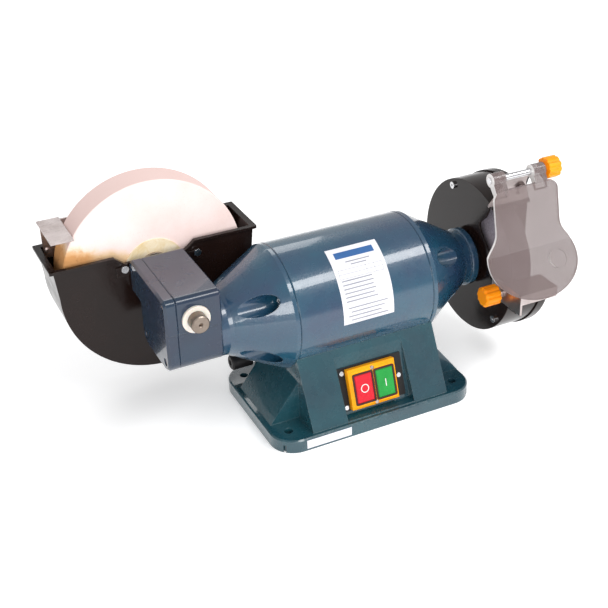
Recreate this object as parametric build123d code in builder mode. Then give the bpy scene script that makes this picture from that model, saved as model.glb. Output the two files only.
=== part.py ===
"""Bench grinder with a dry wheel on the motor shaft and a slow wet wheel on a worm gearbox.

Millimetres. +X runs along the motor shaft from the wet wheel to the dry wheel, +Y to the back
and +Z up. The origin is on the underside of the base, straight below the motor axis and midway
between the two seams of the motor shell.
"""
import os
from math import cos, pi, radians, sin

from build123d import *

os.makedirs("parts", exist_ok=True)

# ---- driving dimensions -------------------------------------------------------------------
motor_z = 120.0            # height of the motor axis
shell_r = 68.0             # outside of the motor shell
shell_wall = 5.0
shell_half = 78.0          # the shell runs from -shell_half to +shell_half
bell_lip = 5.0             # straight part of each end bell beside the shell

foot_length, foot_depth, foot_height = 237.0, 162.0, 15.0
foot_front, foot_middle_x = -100.0, -2.5
foot_corner_r = 27.0
bolt_half_x = 99.5         # base bolt holes, a rectangle
bolt_front_y, bolt_back_y = -78.5, 40.5
bolt_hole_r = 4.5
panel_foot_y = -95.0       # front panel at the foot
saddle_front_y, saddle_front_z = -58.6, 85.4
saddle_back_y, saddle_back_z = 51.3, 75.4
pedestal_half = 81.0
wedge_toe_x, wedge_top_z = 115.0, 59.0
wedge_front_y, wedge_back_y = -61.0, 20.0
casting_wall = 5.0
foot_wall, foot_roof = 7.0, 6.0

switch_x = -3.2            # centre of the switch
switch_z = 42.0
recess_tilt = 18.0         # degrees from upright
recess_top_y, recess_top_z = -62.0, 79.5
recess_left_x, recess_right_x = -40.0, 40.5
recess_floor_z = 16.0

gear_left, gear_split, gear_right = -211.5, -199.0, -152.0
gear_front, gear_back = -41.5, 66.5
gear_top, gear_step_z = 179.5, 141.0
gear_foot_z, gear_foot_back = 95.0, 40.0    # the shorter lower block round the worm
gear_foot_r = 14.0
gear_wall = 5.0
gear_groove = 0.9           # the seam between housing and cover shows as a groove

wet_x, wet_z = -180.0, 154.5
spindle_r = 9.5
wheel_teeth = 22
gear_module = 1.5
wet_wheel_r, wet_wheel_front, wet_wheel_back = 100.0, 79.7, 115.7

trough_half = 110.5
trough_front, trough_back = 68.5, 134.0
trough_wall = 3.0
trough_rim_z = 182.5
trough_round_r, trough_round_z = 107.0, 148.5

neck_x = 158.0             # end of the right bell's rim
spigot_x = 163.0
guard_r, guard_x0, guard_x1 = 88.0, 163.0, 211.0
guard_sheet, guard_bore_r = 2.0, 12.0
guard_mouth_y = -38.0
guard_mouth_z = 92.0       # the mouth is open above this height
dry_wheel_r, dry_x0, dry_x1 = 75.0, 172.0, 197.0

rest_x0, rest_x1 = 160.3, 207.5
rest_back, rest_front, rest_z = -77.5, -109.0, 120.0
rest_sheet = 2.5
rest_bolt_y, rest_bolt_z = -71.0, 106.0
rest_flange_back, rest_flange_foot_z = -55.0, 96.0
rest_bolt_r, rest_shoulder_r, rest_bolt_head_r = 4.0, 6.5, 7.5
rest_lip_depth = 12.0

shield_x = 183.0           # middle of the eye shield
arrestor_y, arrestor_z, arrestor_lean = -45.0, 197.0, 20.0
rod_r = 3.5
running_gap = 0.05         # radial clearance of every running fit
sliding_gap = 0.2

screw_r, screw_hole_r = 2.0, 2.2      # every small screw and the hole that it passes through
screw_head_r = 4.0
through = 1.0                         # how far a cutting tool passes beyond the face it cuts

motor_axis = Axis((0, 0, motor_z), (1, 0, 0))


# ---- helpers ------------------------------------------------------------------------------
def cylinder_x(x_start, x_end, y, z, radius, mode=Mode.ADD):
    """Cylinder along X between two stations."""
    with Locations(Location((x_start, y, z), (0, 90, 0))):
        Cylinder(radius, x_end - x_start, align=(Align.CENTER, Align.CENTER, Align.MIN), mode=mode)


def cylinder_y(y_start, y_end, x, z, radius, mode=Mode.ADD):
    """Cylinder along Y between two stations."""
    with Locations(Location((x, y_start, z), (-90, 0, 0))):
        Cylinder(radius, y_end - y_start, align=(Align.CENTER, Align.CENTER, Align.MIN), mode=mode)


def cylinder_z(z_start, z_end, x, y, radius, mode=Mode.ADD):
    """Cylinder along Z between two stations."""
    with Locations((x, y, z_start)):
        Cylinder(radius, z_end - z_start, align=(Align.CENTER, Align.CENTER, Align.MIN), mode=mode)


def block(x_span, y_span, z_span, mode=Mode.ADD):
    """Box between two stations on each axis."""
    with Locations((x_span[0], y_span[0], z_span[0])):
        Box(
            x_span[1] - x_span[0],
            y_span[1] - y_span[0],
            z_span[1] - z_span[0],
            align=(Align.MIN, Align.MIN, Align.MIN),
            mode=mode,
        )


def turned(profile):
    """Solid of revolution about the motor axis from (station, radius) corners."""
    with BuildPart() as spun:
        with BuildSketch(Plane.XZ):
            with BuildLine():
                Polyline([(x, motor_z + r) for x, r in profile], close=True)
            make_face()
        revolve(axis=motor_axis)
    return spun.part


def side_extrusion(corners, x_start, x_end):
    """Prism along X from corners given as (y, z)."""
    with BuildPart() as prism:
        with BuildSketch(Plane.YZ.offset(x_start)):
            with BuildLine():
                Polyline(corners, close=True)
            make_face()
        extrude(amount=x_end - x_start)
    return prism.part


def front_extrusion(corners, y_start, y_end):
    """Prism along Y from corners given as (x, z)."""
    with BuildPart() as prism:
        with BuildSketch(Plane.XZ.offset(-y_end)):
            with BuildLine():
                Polyline(corners, close=True)
            make_face()
        extrude(amount=y_end - y_start)
    return prism.part


def star_knob(plane, radius, height, bore_r, bore_depth):
    """Fluted clamping knob that stands on a plane, with a bore in its foot."""
    flutes, flute_r, edge = 10, 2.1, 1.8
    with BuildPart() as knob:
        with BuildSketch(plane):
            Circle(radius)
            with PolarLocations(radius + flute_r * 0.45, flutes):
                Circle(flute_r, mode=Mode.SUBTRACT)
        extrude(amount=height)
        chamfer(knob.faces().sort_by(Axis(plane.origin, plane.z_dir))[-1].outer_wire().edges(), edge)
        with BuildSketch(plane):
            Circle(bore_r)
        extrude(amount=bore_depth, mode=Mode.SUBTRACT)
    return knob.part


def save(builder, label):
    """Label a finished piece and write it."""
    builder.part.label = label
    export_step(builder.part, f"parts/{label}.step")


# ---- base ---------------------------------------------------------------------------------
bolt_spots = [
    (foot_middle_x + side * bolt_half_x, y)
    for side in (-1, 1)
    for y in (bolt_front_y, bolt_back_y)
]
post_spots = [(side * 60.0, y) for side in (-1, 1) for y in (-38.0, 38.0)]
saddle_bolt_spots = [(-45.0, 0.0), (45.0, 0.0)]
bolt_boss_r, post_r, post_hole_depth, bottom_plate_t = 15.0, 6.0, 14.0, 1.5
saddle_bolt_r, saddle_bolt_head_r = 4.0, 6.5
foot_middle_y = foot_front + foot_depth / 2
recess_run = (recess_top_z - recess_floor_z) * sin(radians(recess_tilt)) / cos(radians(recess_tilt))
recess_floor_y = recess_top_y - recess_run
switch_y = recess_top_y - (recess_top_z - switch_z) * sin(radians(recess_tilt)) / cos(radians(recess_tilt))
switch_plane = Plane(
    origin=(switch_x, switch_y, switch_z),
    x_dir=(1, 0, 0),
    z_dir=(0, -cos(radians(recess_tilt)), sin(radians(recess_tilt))),
)
gland_y, gland_z = 41.0, 36.0

with BuildPart() as base_hollow:
    inner = pedestal_half - casting_wall
    hollow_front, hollow_roof_z, hollow_back = -77.0, 68.0, 51.0
    add(side_extrusion([
        (hollow_front, 0), (hollow_front, foot_height), (hollow_front + 18, hollow_roof_z),
        (hollow_back - 5, hollow_roof_z), (hollow_back, 0),
    ], -inner, inner))
    with Locations((foot_middle_x, foot_middle_y, 0)):
        Box(foot_length - 2 * foot_wall, foot_depth - 2 * foot_wall, 2 * (foot_height - foot_roof))
    for side in (-1, 1):
        wedge = [
            (side * (inner - 6), foot_height - foot_wall),
            (side * (wedge_toe_x - 11), foot_height - foot_wall),
            (side * (inner - 6), wedge_top_z - foot_wall),
        ]
        add(front_extrusion(wedge, wedge_front_y + casting_wall, wedge_back_y - casting_wall))
    cylinder_x(-shell_half - 9, shell_half + 9, 0, motor_z, shell_r + casting_wall, mode=Mode.SUBTRACT)
    for x, y in bolt_spots:
        cylinder_z(0, foot_height, x, y, bolt_boss_r, mode=Mode.SUBTRACT)
    for x, y in post_spots:
        cylinder_z(bottom_plate_t, hollow_roof_z + 2, x, y, post_r, mode=Mode.SUBTRACT)

with BuildPart() as base_casting:
    with BuildSketch(Plane.XY):
        with Locations((foot_middle_x, foot_middle_y)):
            RectangleRounded(foot_length, foot_depth, foot_corner_r)
    extrude(amount=foot_height)
    chamfer(base_casting.faces().sort_by(Axis.Z)[-1].edges(), 1.5)
    pedestal_side = [
        (panel_foot_y, foot_height - 2),
        (panel_foot_y, foot_height),
        (saddle_front_y, saddle_front_z),
        (saddle_back_y, saddle_back_z),
        (57, foot_height),
        (57, foot_height - 2),
    ]
    add(side_extrusion(pedestal_side, -pedestal_half, pedestal_half))
    for side in (-1, 1):
        wedge = [
            (side * (pedestal_half - 10), foot_height - 2),
            (side * wedge_toe_x, foot_height - 2),
            (side * wedge_toe_x, foot_height),
            (side * pedestal_half, wedge_top_z),
            (side * (pedestal_half - 10), wedge_top_z),
        ]
        add(front_extrusion(wedge, wedge_front_y, wedge_back_y))
    add(base_hollow.part, mode=Mode.SUBTRACT)
    cylinder_x(-shell_half - 9, shell_half + 9, 0, motor_z, shell_r, mode=Mode.SUBTRACT)
    recess = [
        (recess_top_y, recess_top_z),
        (recess_floor_y, recess_floor_z),
        (panel_foot_y - 20, recess_floor_z),
        (panel_foot_y - 20, recess_top_z),
    ]
    add(side_extrusion(recess, recess_left_x, recess_right_x), mode=Mode.SUBTRACT)
    with BuildSketch(switch_plane):
        Rectangle(44, 34)
    extrude(amount=-14, mode=Mode.SUBTRACT)
    for x, y in bolt_spots:
        cylinder_z(-through, foot_height + through, x, y, bolt_hole_r, mode=Mode.SUBTRACT)
    for x, y in post_spots:
        cylinder_z(0, post_hole_depth, x, y, screw_r, mode=Mode.SUBTRACT)
    for x, y in saddle_bolt_spots:
        cylinder_z(40, 60, x, y, saddle_bolt_r, mode=Mode.SUBTRACT)
    cylinder_x(-pedestal_half - 1, -pedestal_half + 12, gland_y, gland_z, 5, mode=Mode.SUBTRACT)
save(base_casting, "base_casting")

with BuildPart() as base_bottom_plate:
    with BuildSketch(Plane.XY):
        with Locations((foot_middle_x, foot_middle_y)):
            RectangleRounded(foot_length - 15, foot_depth - 15, foot_corner_r - 7)
        with Locations(bolt_spots):
            Circle(bolt_boss_r + 0.5, mode=Mode.SUBTRACT)
        with Locations(post_spots):
            Circle(screw_hole_r, mode=Mode.SUBTRACT)
    extrude(amount=bottom_plate_t)
save(base_bottom_plate, "base_bottom_plate")

with BuildPart() as bottom_plate_screws:
    for x, y in post_spots:
        cylinder_z(0.2, post_hole_depth - 2, x, y, screw_r)
save(bottom_plate_screws, "bottom_plate_screws")

with BuildPart() as saddle_bolts:
    for x, y in saddle_bolt_spots:
        cylinder_z(38.5, 45.5, x, y, saddle_bolt_head_r)
        cylinder_z(45.5, 55.5, x, y, saddle_bolt_r)
save(saddle_bolts, "saddle_bolts")

with BuildPart() as start_capacitor:
    cylinder_x(-50, 12, 22, 19.5, 14.5)
    fillet(start_capacitor.edges().filter_by(GeomType.CIRCLE), 2)
    for y in (17, 27):
        block((12, 19), (y - 2.5, y + 2.5), (19, 20))
save(start_capacitor, "start_capacitor")

with BuildPart() as cable_gland:
    cylinder_x(-pedestal_half + 6, -pedestal_half + 9, gland_y, gland_z, 6.8)
    cylinder_x(-pedestal_half - 12, -pedestal_half + 6, gland_y, gland_z, 4.9)
    cylinder_x(-pedestal_half - 36, -pedestal_half - 12, gland_y, gland_z, 8.8)
    chamfer(cable_gland.faces().sort_by(Axis.X)[0].edges(), 1.6)
    cylinder_x(-pedestal_half - 37, -pedestal_half + 10, gland_y, gland_z, 3.4, mode=Mode.SUBTRACT)
save(cable_gland, "cable_gland")

with BuildPart() as foot_sticker:
    block((-91, -39), (foot_front - 0.3, foot_front), (2.5, 12.5))
save(foot_sticker, "foot_sticker")

# ---- switch -------------------------------------------------------------------------------
plate_front, housing_front = 1.5, 11.5     # distances out from the recess face
housing_width, housing_height = 56.0, 44.5
button_width, button_height, button_offset = 20.0, 30.5, 12.6
button_back, button_front = 5.0, 13.0
switch_centres = [(-button_offset, 0), (button_offset, 0)]
plate_screw_spots = [(-32.2, 19.0), (-32.2, -19.0), (33.6, 0.0)]
housing_screw_spots = [(0, 19.0), (0, -19.0)]

with BuildPart() as switch_plate:
    with BuildSketch(switch_plane):
        with Locations((1.5, 0.5)):
            Rectangle(75.6, 48.0)
        Rectangle(43, 33, mode=Mode.SUBTRACT)
    extrude(amount=plate_front)
save(switch_plate, "switch_plate")

with BuildPart() as switch_plate_screws:
    for spot in plate_screw_spots:
        with BuildSketch(switch_plane.offset(plate_front)):
            with Locations(spot):
                Circle(3.1)
        extrude(amount=1.8, taper=18)
save(switch_plate_screws, "switch_plate_screws")

with BuildPart() as switch_housing:
    with BuildSketch(switch_plane.offset(plate_front)):
        Rectangle(housing_width, housing_height)
    extrude(amount=housing_front - plate_front)
    front_face = switch_housing.faces().sort_by(Axis(switch_plane.origin, switch_plane.z_dir))[-1]
    chamfer(front_face.edges(), 3.2)
    with BuildSketch(switch_plane.offset(plate_front)):
        with Locations(switch_centres):
            Rectangle(button_width + 2 * sliding_gap, button_height + 2 * sliding_gap)
    extrude(amount=housing_front, mode=Mode.SUBTRACT)
    with BuildSketch(switch_plane.offset(housing_front - 2.0)):
        with Locations(housing_screw_spots):
            Circle(2.2)
    extrude(amount=3, mode=Mode.SUBTRACT)
save(switch_housing, "switch_housing")

with BuildPart() as switch_housing_screws:
    with BuildSketch(switch_plane.offset(housing_front - 2.0)):
        with Locations(housing_screw_spots):
            Circle(2.1)
    extrude(amount=1.4)
save(switch_housing_screws, "switch_housing_screws")

with BuildPart() as switch_contact_block:
    with BuildSketch(switch_plane.offset(-20)):
        Rectangle(42, 32)
    extrude(amount=21)
save(switch_contact_block, "switch_contact_block")


def push_button(centre):
    """One rectangular push button with a softened front edge."""
    with BuildPart() as button:
        with BuildSketch(switch_plane.offset(button_back)):
            with Locations(centre):
                RectangleRounded(button_width, button_height, 1.2)
        extrude(amount=button_front - button_back)
        front = button.faces().sort_by(Axis(switch_plane.origin, switch_plane.z_dir))[-1]
        chamfer(front.edges(), 1.0)
    return button


save(push_button(switch_centres[0]), "stop_button")
save(push_button(switch_centres[1]), "start_button")

with BuildPart() as button_seals:
    with BuildSketch(switch_plane.offset(housing_front)):
        with Locations(switch_centres):
            RectangleRounded(button_width + 4.4, button_height + 4.4, 2)
            Rectangle(button_width + 2 * sliding_gap, button_height + 2 * sliding_gap, mode=Mode.SUBTRACT)
    extrude(amount=0.8)
save(button_seals, "button_seals")

# ---- motor --------------------------------------------------------------------------------
bearing_r, bearing_bore_r, bearing_width = 17.5, 7.5, 11.0
left_bearing_x, right_bearing_x = -145.0, 146.0
screw_angles = [35, 145, 215, 325]
scoop_r, scoop_wall, scoop_ring_r, scoop_end = 10.5, 2.5, 52.0, 134.0
bell_screw_r, bell_screw_head_r = 2.4, 4.3
scoop_seat = 86.0
spigot_screw_spots = [(18 * cos(radians(a)), motor_z + 18 * sin(radians(a))) for a in (30, 150, 270)]
spigot_screw_start = 158.2

with BuildPart() as motor_shell:
    add(turned([
        (-shell_half, shell_r - 1),
        (-shell_half + 1, shell_r),
        (shell_half - 1, shell_r),
        (shell_half, shell_r - 1),
        (shell_half, shell_r - shell_wall),
        (-shell_half, shell_r - shell_wall),
    ]))
    for x, y in saddle_bolt_spots:
        cylinder_z(40, 60, x, y, saddle_bolt_r, mode=Mode.SUBTRACT)
save(motor_shell, "motor_shell")


def bell_screw_spots():
    """Places of the four screws round a bell as (y, z)."""
    return [
        (scoop_ring_r * cos(radians(a)), motor_z + scoop_ring_r * sin(radians(a)))
        for a in screw_angles
    ]


def scoop_walls(side, outline):
    """Metal round the screw scoops of one bell, kept within the bell's outline."""
    with BuildPart() as walls:
        for y, z in bell_screw_spots():
            ends = sorted((side * (shell_half + bell_lip), side * scoop_end))
            cylinder_x(*ends, y, z, scoop_r + scoop_wall)
        add(turned(outline), mode=Mode.INTERSECT)
    return walls.part


left_outline = [
    (-shell_half, 0), (-shell_half, shell_r), (-shell_half - bell_lip, shell_r), (-139, 38.5), (-139, 0),
]
right_outline = [
    (shell_half, 0), (shell_half, shell_r), (shell_half + bell_lip, shell_r), (143, 31.5), (143, 0),
]

with BuildPart() as left_end_bell:
    add(turned([
        (-shell_half, shell_r - 1),
        (-shell_half - 1, shell_r),
        (-shell_half - bell_lip, shell_r),
        (-139, 38.5),
        (-143, 37.0),
        (gear_right, 37.0),
        (gear_right, bearing_bore_r + 3),
        (left_bearing_x, bearing_bore_r + 3),
        (left_bearing_x, bearing_r),
        (left_bearing_x + bearing_width + 1, bearing_r),
        (left_bearing_x + bearing_width + 1, 30),
        (-shell_half - bell_lip - 1, shell_r - shell_wall - 2),
        (-shell_half, shell_r - shell_wall),
    ]))
    add(scoop_walls(-1, left_outline))
    for y, z in bell_screw_spots():
        cylinder_x(-scoop_end - 6, -scoop_seat, y, z, scoop_r, mode=Mode.SUBTRACT)
        cylinder_x(-scoop_seat, -shell_half, y, z, bell_screw_r, mode=Mode.SUBTRACT)
save(left_end_bell, "left_end_bell")

with BuildPart() as right_end_bell:
    add(turned([
        (shell_half, shell_r - 1),
        (shell_half + 1, shell_r),
        (shell_half + bell_lip, shell_r),
        (143, 31.5),
        (150, 29.5),
        (150, 32.0),
        (151, 33.0),
        (neck_x - 1, 33.0),
        (neck_x, 32.0),
        (neck_x, 24),
        (spigot_x, 24),
        (spigot_x, bearing_bore_r + 2),
        (right_bearing_x + bearing_width, bearing_bore_r + 2),
        (right_bearing_x + bearing_width, bearing_r),
        (right_bearing_x - 1, bearing_r),
        (right_bearing_x - 1, 25),
        (shell_half + bell_lip + 1, shell_r - shell_wall - 2),
        (shell_half, shell_r - shell_wall),
    ]))
    add(scoop_walls(1, right_outline))
    for y, z in bell_screw_spots():
        cylinder_x(scoop_seat, scoop_end + 6, y, z, scoop_r, mode=Mode.SUBTRACT)
        cylinder_x(shell_half, scoop_seat, y, z, bell_screw_r, mode=Mode.SUBTRACT)
    for y, z in spigot_screw_spots:
        cylinder_x(spigot_screw_start, spigot_x, y, z, screw_r, mode=Mode.SUBTRACT)
save(right_end_bell, "right_end_bell")

with BuildPart() as end_bell_screws:
    for y, z in bell_screw_spots():
        cylinder_x(-scoop_seat - 5, -scoop_seat, y, z, bell_screw_head_r)
        cylinder_x(-scoop_seat, -shell_half, y, z, bell_screw_r)
        cylinder_x(-scoop_seat - 6, -scoop_seat - 2.5, y, z, 2.0, mode=Mode.SUBTRACT)
        cylinder_x(scoop_seat, scoop_seat + 5, y, z, bell_screw_head_r)
        cylinder_x(shell_half, scoop_seat, y, z, bell_screw_r)
        cylinder_x(scoop_seat + 2.5, scoop_seat + 6, y, z, 2.0, mode=Mode.SUBTRACT)
save(end_bell_screws, "end_bell_screws")

core_half = 34.0
with BuildPart() as stator_core:
    core_r = shell_r - shell_wall
    add(turned([(-core_half, 38.5), (-core_half, core_r), (core_half, core_r), (core_half, 38.5)]))
    with BuildSketch(Plane.YZ.offset(-core_half)):
        with Locations((0, motor_z)):
            with PolarLocations(45, 24):
                Rectangle(9, 3.4)
    extrude(amount=2 * core_half, mode=Mode.SUBTRACT)
save(stator_core, "stator_core")

with BuildPart() as stator_windings:
    for side in (-1, 1):
        add(turned([
            (side * (core_half + 0.5), 41),
            (side * (core_half + 0.5), 58),
            (side * (core_half + 17), 60),
            (side * (core_half + 20), 56),
            (side * (core_half + 20), 46),
            (side * (core_half + 17), 42),
        ]))
save(stator_windings, "stator_windings")

with BuildPart() as rotor_core:
    add(turned([(-core_half - 4, 12), (-core_half - 4, 34), (-core_half, 38), (core_half, 38),
                (core_half + 4, 34), (core_half + 4, 12)]))
save(rotor_core, "rotor_core")

arbor_r = 6.3
shaft_steps = [
    (gear_left + 6, 5.9),
    (-196.5, 8.0),
    (left_bearing_x - 1, bearing_bore_r - running_gap),
    (left_bearing_x + bearing_width + 1, 12.0),
    (right_bearing_x - 1, bearing_bore_r - running_gap),
    (166.0, arbor_r),
    (210.0, 0.0),
]
with BuildPart() as motor_shaft:
    for (x_start, radius), (x_end, _) in zip(shaft_steps, shaft_steps[1:]):
        cylinder_x(x_start, x_end, 0, motor_z, radius)
save(motor_shaft, "motor_shaft")

for name, start in (("left_bearing", left_bearing_x), ("right_bearing", right_bearing_x)):
    with BuildPart() as bearing:
        add(turned([
            (start, bearing_bore_r),
            (start, bearing_r),
            (start + bearing_width, bearing_r),
            (start + bearing_width, bearing_bore_r),
        ]))
        for face_x, inward in ((start, 1), (start + bearing_width, -1)):
            add(turned([
                (face_x, 10.5), (face_x, 14.5), (face_x + inward, 14.5), (face_x + inward, 10.5),
            ]), mode=Mode.SUBTRACT)
    save(bearing, name)

# ---- worm drive ---------------------------------------------------------------------------
lead = pi * gear_module
wheel_pitch_r = wheel_teeth * gear_module / 2
worm_pitch_r = wet_z - motor_z - wheel_pitch_r
tooth_rise, tooth_drop, tooth_half = 1.1, 1.7, 0.85     # above and below the pitch line
flank = sin(radians(20)) / cos(radians(20))
thread_turns = 6
worm_start = wet_x - thread_turns / 2 * lead

root_half, tip_half = tooth_half + (tooth_drop + 0.5) * flank, tooth_half - tooth_rise * flank

with BuildPart() as worm_thread:
    with BuildLine() as thread_path:
        Helix(
            pitch=lead,
            height=thread_turns * lead,
            radius=worm_pitch_r,
            center=(worm_start, 0, motor_z),
            direction=(1, 0, 0),
        )
    thread_start = thread_path.line @ 0
    outward = thread_start - Vector(worm_start, 0, motor_z)
    along = thread_path.line % 0
    tooth_plane = Plane(origin=thread_start, x_dir=outward.cross(along), z_dir=along)
    with BuildSketch(tooth_plane):
        with BuildLine():
            Polyline(
                [
                    (-root_half, -tooth_drop - 0.5),
                    (-tip_half, tooth_rise),
                    (tip_half, tooth_rise),
                    (root_half, -tooth_drop - 0.5),
                ],
                close=True,
            )
        make_face()
    sweep(is_frenet=True)

with BuildPart() as worm:
    cylinder_x(worm_start - 2, worm_start + thread_turns * lead + 2, 0, motor_z, worm_pitch_r - tooth_drop)
    add(worm_thread.part)
    cylinder_x(worm_start - 12, worm_start + thread_turns * lead + 12, 0, motor_z, 8.0, mode=Mode.SUBTRACT)
save(worm, "worm")

tooth_middle_r = wheel_pitch_r + (tooth_rise - tooth_drop - 0.3) / 2
with BuildPart() as worm_wheel:
    cylinder_y(-5, 5, wet_x, wet_z, wheel_pitch_r - tooth_drop)
    with BuildSketch(Plane.XZ.offset(-5)):
        with Locations((wet_x, wet_z)):
            with PolarLocations(tooth_middle_r, wheel_teeth, start_angle=-90 + 180 / wheel_teeth):
                Trapezoid(2 * (tooth_half + (tooth_drop + 0.3) * flank), tooth_rise + tooth_drop + 0.3,
                          90 - 20, rotation=-90)
    extrude(amount=10)
    cylinder_y(-14, 14, wet_x, wet_z, 13)
    cylinder_y(-20, 20, wet_x, wet_z, spindle_r, mode=Mode.SUBTRACT)
save(worm_wheel, "worm_wheel")

# ---- gearbox ------------------------------------------------------------------------------
cover_screw_spots = [(-34.0, 172.0), (59.0, 172.0), (-29.0, 106.0), (31.0, 106.0)]


def gearbox_outline(inset):
    """Outline of the gearbox seen from the side: a deep block over a shorter one with a rounded foot."""
    low, high = gear_step_z + inset * 0.4, gear_top - inset
    front, back = gear_front + inset, gear_back - inset
    foot_front_y, foot_back_y = front + 2, gear_foot_back - inset
    foot_z = gear_foot_z + inset
    with BuildSketch(Plane.YZ) as outline:
        with Locations(((front + back) / 2, (low + high) / 2)):
            Rectangle(back - front, high - low)
        with Locations(((foot_front_y + foot_back_y) / 2, (foot_z + low) / 2)):
            Rectangle(foot_back_y - foot_front_y, low - foot_z + 0.01)
        fillet(outline.vertices().group_by(Axis.Y)[-1], 7)
        fillet(outline.vertices().group_by(Axis.Y)[0], gear_foot_r - inset)
    return outline.sketch


def placed_outline(x, inset):
    """The gearbox outline moved to a station on the motor axis."""
    return gearbox_outline(inset).moved(Location((x, 0, 0)))


spindle_front, spindle_thread, spindle_end = gear_front - 15.0, 119.9, 127.3
front_bush_r, rear_bush_r = 12.5, 13.0

with BuildPart() as gearbox_housing:
    extrude(to_extrude=placed_outline(gear_split, 0), amount=gear_right - gear_split)
    chamfer(gearbox_housing.faces().sort_by(Axis.X)[0].outer_wire().edges(), gear_groove)
    chamfer(gearbox_housing.faces().sort_by(Axis.X)[-1].outer_wire().edges(), 2 * gear_groove)
    extrude(to_extrude=placed_outline(gear_split, gear_wall), amount=gear_right - gear_split - gear_wall,
            mode=Mode.SUBTRACT)
    cylinder_y(gear_back - gear_wall, trough_front, wet_x, wet_z, 19)
    for y, z in cover_screw_spots:
        cylinder_x(gear_split, gear_right - gear_wall, y, z, 4.5)
        cylinder_x(gear_split, gear_split + 12, y, z, screw_r, mode=Mode.SUBTRACT)
    cylinder_x(gear_right - 6, gear_right + 1, 0, motor_z, 9, mode=Mode.SUBTRACT)
    cylinder_y(gear_front - 1, gear_front + gear_wall + 1, wet_x, wet_z, front_bush_r, mode=Mode.SUBTRACT)
    cylinder_y(gear_back - gear_wall - 1, trough_front + 1, wet_x, wet_z, rear_bush_r, mode=Mode.SUBTRACT)
    block((gear_split - 20, gear_split), (-60, 70), (80, 190), mode=Mode.SUBTRACT)
save(gearbox_housing, "gearbox_housing")

with BuildPart() as gearbox_cover:
    extrude(to_extrude=placed_outline(gear_left, 0), amount=gear_split - gear_left)
    chamfer(gearbox_cover.faces().sort_by(Axis.X)[-1].outer_wire().edges(), gear_groove)
    chamfer(gearbox_cover.faces().sort_by(Axis.X)[0].outer_wire().edges(), 2.5)
    extrude(to_extrude=placed_outline(gear_left + gear_wall, gear_wall + 1), amount=20, mode=Mode.SUBTRACT)
    for y, z in cover_screw_spots:
        cylinder_x(gear_left + 2, gear_split, y, z, 5.5)
        cylinder_x(gear_left - 1, gear_left + 4, y, z, 4.2, mode=Mode.SUBTRACT)
        cylinder_x(gear_left, gear_split + through, y, z, screw_hole_r, mode=Mode.SUBTRACT)
    cylinder_x(gear_left + 3, gear_split, 0, motor_z, 11)
    cylinder_x(gear_left + 5, gear_split + 1, 0, motor_z, 5.9 + running_gap, mode=Mode.SUBTRACT)
save(gearbox_cover, "gearbox_cover")

with BuildPart() as gearbox_cover_screws:
    for y, z in cover_screw_spots:
        cylinder_x(gear_left + 1.2, gear_left + 4, y, z, screw_head_r)
        cylinder_x(gear_left + 4, gear_split + 10, y, z, screw_r)
        cylinder_x(gear_left + 1, gear_left + 2.8, y, z, 1.7, mode=Mode.SUBTRACT)
save(gearbox_cover_screws, "gearbox_cover_screws")

with BuildPart() as spindle_front_bush:
    cylinder_y(gear_front - 2.6, gear_front, wet_x, wet_z, 14.7)
    cylinder_y(gear_front, gear_front + gear_wall + 1, wet_x, wet_z, front_bush_r)
    cylinder_y(gear_front - 4, gear_front + gear_wall + 2, wet_x, wet_z, spindle_r + running_gap,
               mode=Mode.SUBTRACT)
save(spindle_front_bush, "spindle_front_bush")

with BuildPart() as spindle_rear_bush:
    cylinder_y(gear_back - gear_wall, trough_front, wet_x, wet_z, rear_bush_r)
    cylinder_y(gear_back - 10, trough_front + 1, wet_x, wet_z, spindle_r + running_gap, mode=Mode.SUBTRACT)
save(spindle_rear_bush, "spindle_rear_bush")

with BuildPart() as wet_spindle:
    cylinder_y(spindle_front, spindle_thread, wet_x, wet_z, spindle_r)
    cylinder_y(spindle_thread, spindle_end, wet_x, wet_z, 8)
    chamfer(wet_spindle.faces().sort_by(Axis.Y)[0].edges(), 1.2)
    with Locations(Location((wet_x, spindle_front, wet_z), (90, 0, 0))):
        CounterSinkHole(1.5, 2.4, depth=4)
save(wet_spindle, "wet_spindle")

# ---- wet side -----------------------------------------------------------------------------
hub_front, flange_front = 73.1, 75.5
hub_r, front_flange_r, back_flange_r = 16.0, 19.0, 26.0
blotter, blotter_r, wheel_bore_r = 1.2, 34.0, 10.0
with BuildPart() as wet_inner_flange:
    cylinder_y(hub_front, flange_front, wet_x, wet_z, hub_r)
    cylinder_y(flange_front, wet_wheel_front - blotter, wet_x, wet_z, front_flange_r)
    cylinder_y(hub_front - 1, wet_wheel_front, wet_x, wet_z, spindle_r, mode=Mode.SUBTRACT)
save(wet_inner_flange, "wet_inner_flange")

with BuildPart() as wet_blotters:
    for y in (wet_wheel_front - blotter, wet_wheel_back):
        cylinder_y(y, y + blotter, wet_x, wet_z, blotter_r)
        cylinder_y(y, y + blotter, wet_x, wet_z, wheel_bore_r, mode=Mode.SUBTRACT)
save(wet_blotters, "wet_blotters")

with BuildPart() as wet_wheel:
    cylinder_y(wet_wheel_front, wet_wheel_back, wet_x, wet_z, wet_wheel_r)
    chamfer(wet_wheel.edges().filter_by(GeomType.CIRCLE), 0.8)
    cylinder_y(wet_wheel_front, wet_wheel_back, wet_x, wet_z, wheel_bore_r, mode=Mode.SUBTRACT)
save(wet_wheel, "wet_wheel")

with BuildPart() as wet_outer_flange:
    cylinder_y(wet_wheel_back + blotter, spindle_thread + 0.8, wet_x, wet_z, back_flange_r)
    cylinder_y(wet_wheel_back, spindle_thread + 2, wet_x, wet_z, spindle_r, mode=Mode.SUBTRACT)
save(wet_outer_flange, "wet_outer_flange")

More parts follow.
